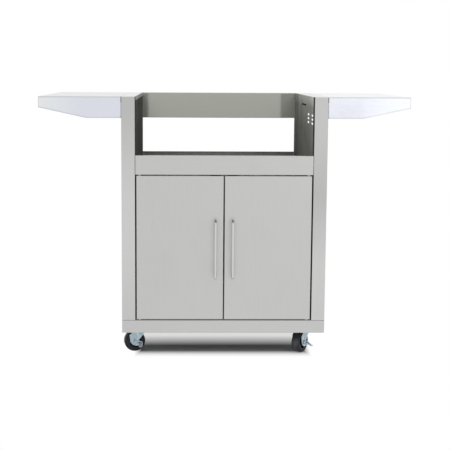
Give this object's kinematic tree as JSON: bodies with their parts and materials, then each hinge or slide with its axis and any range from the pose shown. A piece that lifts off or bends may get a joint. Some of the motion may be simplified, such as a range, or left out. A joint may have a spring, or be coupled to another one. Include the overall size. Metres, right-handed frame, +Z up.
{
  "type": "outdoor oven cart",
  "caption": "Stainless cabinet cart with an open bay for a drop-in oven or grill head, swinging doors, fold-down side shelves and braked swivel casters.",
  "frame": {"origin": "on the floor at the middle of the outline, door handles counted in", "axes": "+X to the viewer's right along the cart, +Y to the back (the doors face -Y), +Z up"},
  "size_m": [1.283, 0.64, 0.914],
  "materials": {
    "stainless": "brushed",
    "inner_stainless": "brushed",
    "shelf_stainless": "brushed",
    "handle_steel": "satin",
    "zinc_plate": "zinc plated",
    "fastener_steel": "bright",
    "nylon": "moulded",
    "catch_plastic": "moulded",
    "tyre": "moulded",
    "wheel_core": "moulded"
  },
  "bodies": {
    "cart": {"base_front_rail": "stainless", "base_rear_rail": "stainless", "base_left_rail": "stainless", "base_right_rail": "stainless", "cabinet_floor": "inner_stainless", "corner_gussets": "zinc_plate", "caster_top_plates": "zinc_plate", "caster_bolts": "fastener_steel", "front_left_post": "stainless", "front_right_post": "stainless", "rear_left_post": "stainless", "rear_right_post": "stainless", "left_side_panel": "inner_stainless", "right_side_panel": "inner_stainless", "back_panel": "stainless", "upper_back_rail": "stainless", "front_rail": "stainless", "hinge_bushes": "nylon", "door_catches": "catch_plastic", "panel_screws": "fastener_steel", "shelf_brackets": "zinc_plate", "shelf_bracket_bolts": "fastener_steel"},
    "left_door": {"left_door_skin": "stainless", "left_door_liner": "inner_stainless", "left_door_handle": "handle_steel", "left_handle_screws": "fastener_steel", "left_hinge_pins": "fastener_steel", "left_strike_plate": "zinc_plate"},
    "left_shelf": {"left_shelf_tray": "shelf_stainless", "left_shelf_stiffeners": "zinc_plate", "left_shelf_pivots": "fastener_steel"},
    "right_door": {"right_door_skin": "stainless", "right_door_liner": "inner_stainless", "right_door_handle": "handle_steel", "right_handle_screws": "fastener_steel", "right_hinge_pins": "fastener_steel", "right_strike_plate": "zinc_plate"},
    "right_shelf": {"right_shelf_tray": "shelf_stainless", "right_shelf_stiffeners": "zinc_plate", "right_shelf_pivots": "fastener_steel"},
    "front_left_caster": {"front_left_fork": "zinc_plate", "front_left_axle": "fastener_steel"},
    "front_left_wheel": {"front_left_tyre": "tyre", "front_left_wheel_core": "wheel_core"},
    "front_left_brake": {"front_left_brake_lever": "zinc_plate"},
    "front_right_caster": {"front_right_fork": "zinc_plate", "front_right_axle": "fastener_steel"},
    "front_right_wheel": {"front_right_tyre": "tyre", "front_right_wheel_core": "wheel_core"},
    "front_right_brake": {"front_right_brake_lever": "zinc_plate"},
    "rear_left_caster": {"rear_left_fork": "zinc_plate", "rear_left_axle": "fastener_steel"},
    "rear_left_wheel": {"rear_left_tyre": "tyre", "rear_left_wheel_core": "wheel_core"},
    "rear_left_brake": {"rear_left_brake_lever": "zinc_plate"},
    "rear_right_caster": {"rear_right_fork": "zinc_plate", "rear_right_axle": "fastener_steel"},
    "rear_right_wheel": {"rear_right_tyre": "tyre", "rear_right_wheel_core": "wheel_core"},
    "rear_right_brake": {"rear_right_brake_lever": "zinc_plate"}
  },
  "joints": [
    {"name": "left_door_swing", "type": "hinge", "parent": "cart", "child": "left_door", "pos_m": [-0.2945, -0.272, 0.384], "axis": [0, 0, -1], "range_deg": [0, 110]},
    {"name": "left_shelf_fold", "type": "hinge", "parent": "cart", "child": "left_shelf", "pos_m": [-0.3665, 0.02, 0.848], "axis": [0, -1, 0], "range_deg": [0, 90]},
    {"name": "right_door_swing", "type": "hinge", "parent": "cart", "child": "right_door", "pos_m": [0.2945, -0.272, 0.384], "axis": [0, 0, 1], "range_deg": [0, 110]},
    {"name": "right_shelf_fold", "type": "hinge", "parent": "cart", "child": "right_shelf", "pos_m": [0.3665, 0.02, 0.848], "axis": [0, 1, 0], "range_deg": [0, 90]},
    {"name": "front_left_swivel", "type": "hinge", "parent": "cart", "child": "front_left_caster", "pos_m": [-0.292, -0.209, 0.089], "axis": [0, 0, 1], "continuous": true},
    {"name": "front_left_wheel_spin", "type": "hinge", "parent": "front_left_caster", "child": "front_left_wheel", "pos_m": [-0.31649, -0.21403, 0.0375], "axis": [0.2011, -0.9796, 0], "continuous": true},
    {"name": "front_left_brake_release", "type": "hinge", "parent": "front_left_caster", "child": "front_left_brake", "pos_m": [-0.29633, -0.23265, 0.0305], "axis": [-0.9796, -0.2011, 0], "range_deg": [0, 20]},
    {"name": "front_right_swivel", "type": "hinge", "parent": "cart", "child": "front_right_caster", "pos_m": [0.292, -0.209, 0.089], "axis": [0, 0, 1], "continuous": true},
    {"name": "front_right_wheel_spin", "type": "hinge", "parent": "front_right_caster", "child": "front_right_wheel", "pos_m": [0.27731, -0.22923, 0.0375], "axis": [0.809, -0.5878, 0], "continuous": true},
    {"name": "front_right_brake_release", "type": "hinge", "parent": "front_right_caster", "child": "front_right_brake", "pos_m": [0.30475, -0.22939, 0.0305], "axis": [-0.5878, -0.809, 0], "range_deg": [0, 20]},
    {"name": "rear_left_swivel", "type": "hinge", "parent": "cart", "child": "rear_left_caster", "pos_m": [-0.292, 0.249, 0.089], "axis": [0, 0, 1], "continuous": true},
    {"name": "rear_left_wheel_spin", "type": "hinge", "parent": "rear_left_caster", "child": "rear_left_wheel", "pos_m": [-0.29548, 0.22424, 0.0375], "axis": [0.9903, -0.1392, 0], "continuous": true},
    {"name": "rear_left_brake_release", "type": "hinge", "parent": "rear_left_caster", "child": "rear_left_brake", "pos_m": [-0.27117, 0.23698, 0.0305], "axis": [-0.1392, -0.9903, 0], "range_deg": [0, 20]},
    {"name": "rear_right_swivel", "type": "hinge", "parent": "cart", "child": "rear_right_caster", "pos_m": [0.292, 0.249, 0.089], "axis": [0, 0, 1], "continuous": true},
    {"name": "rear_right_wheel_spin", "type": "hinge", "parent": "rear_right_caster", "child": "rear_right_wheel", "pos_m": [0.29805, 0.22474, 0.0375], "axis": [0.9703, 0.2419, 0], "continuous": true},
    {"name": "rear_right_brake_release", "type": "hinge", "parent": "rear_right_caster", "child": "rear_right_brake", "pos_m": [0.31582, 0.24566, 0.0305], "axis": [0.2419, -0.9703, 0], "range_deg": [0, 20]}
  ]
}
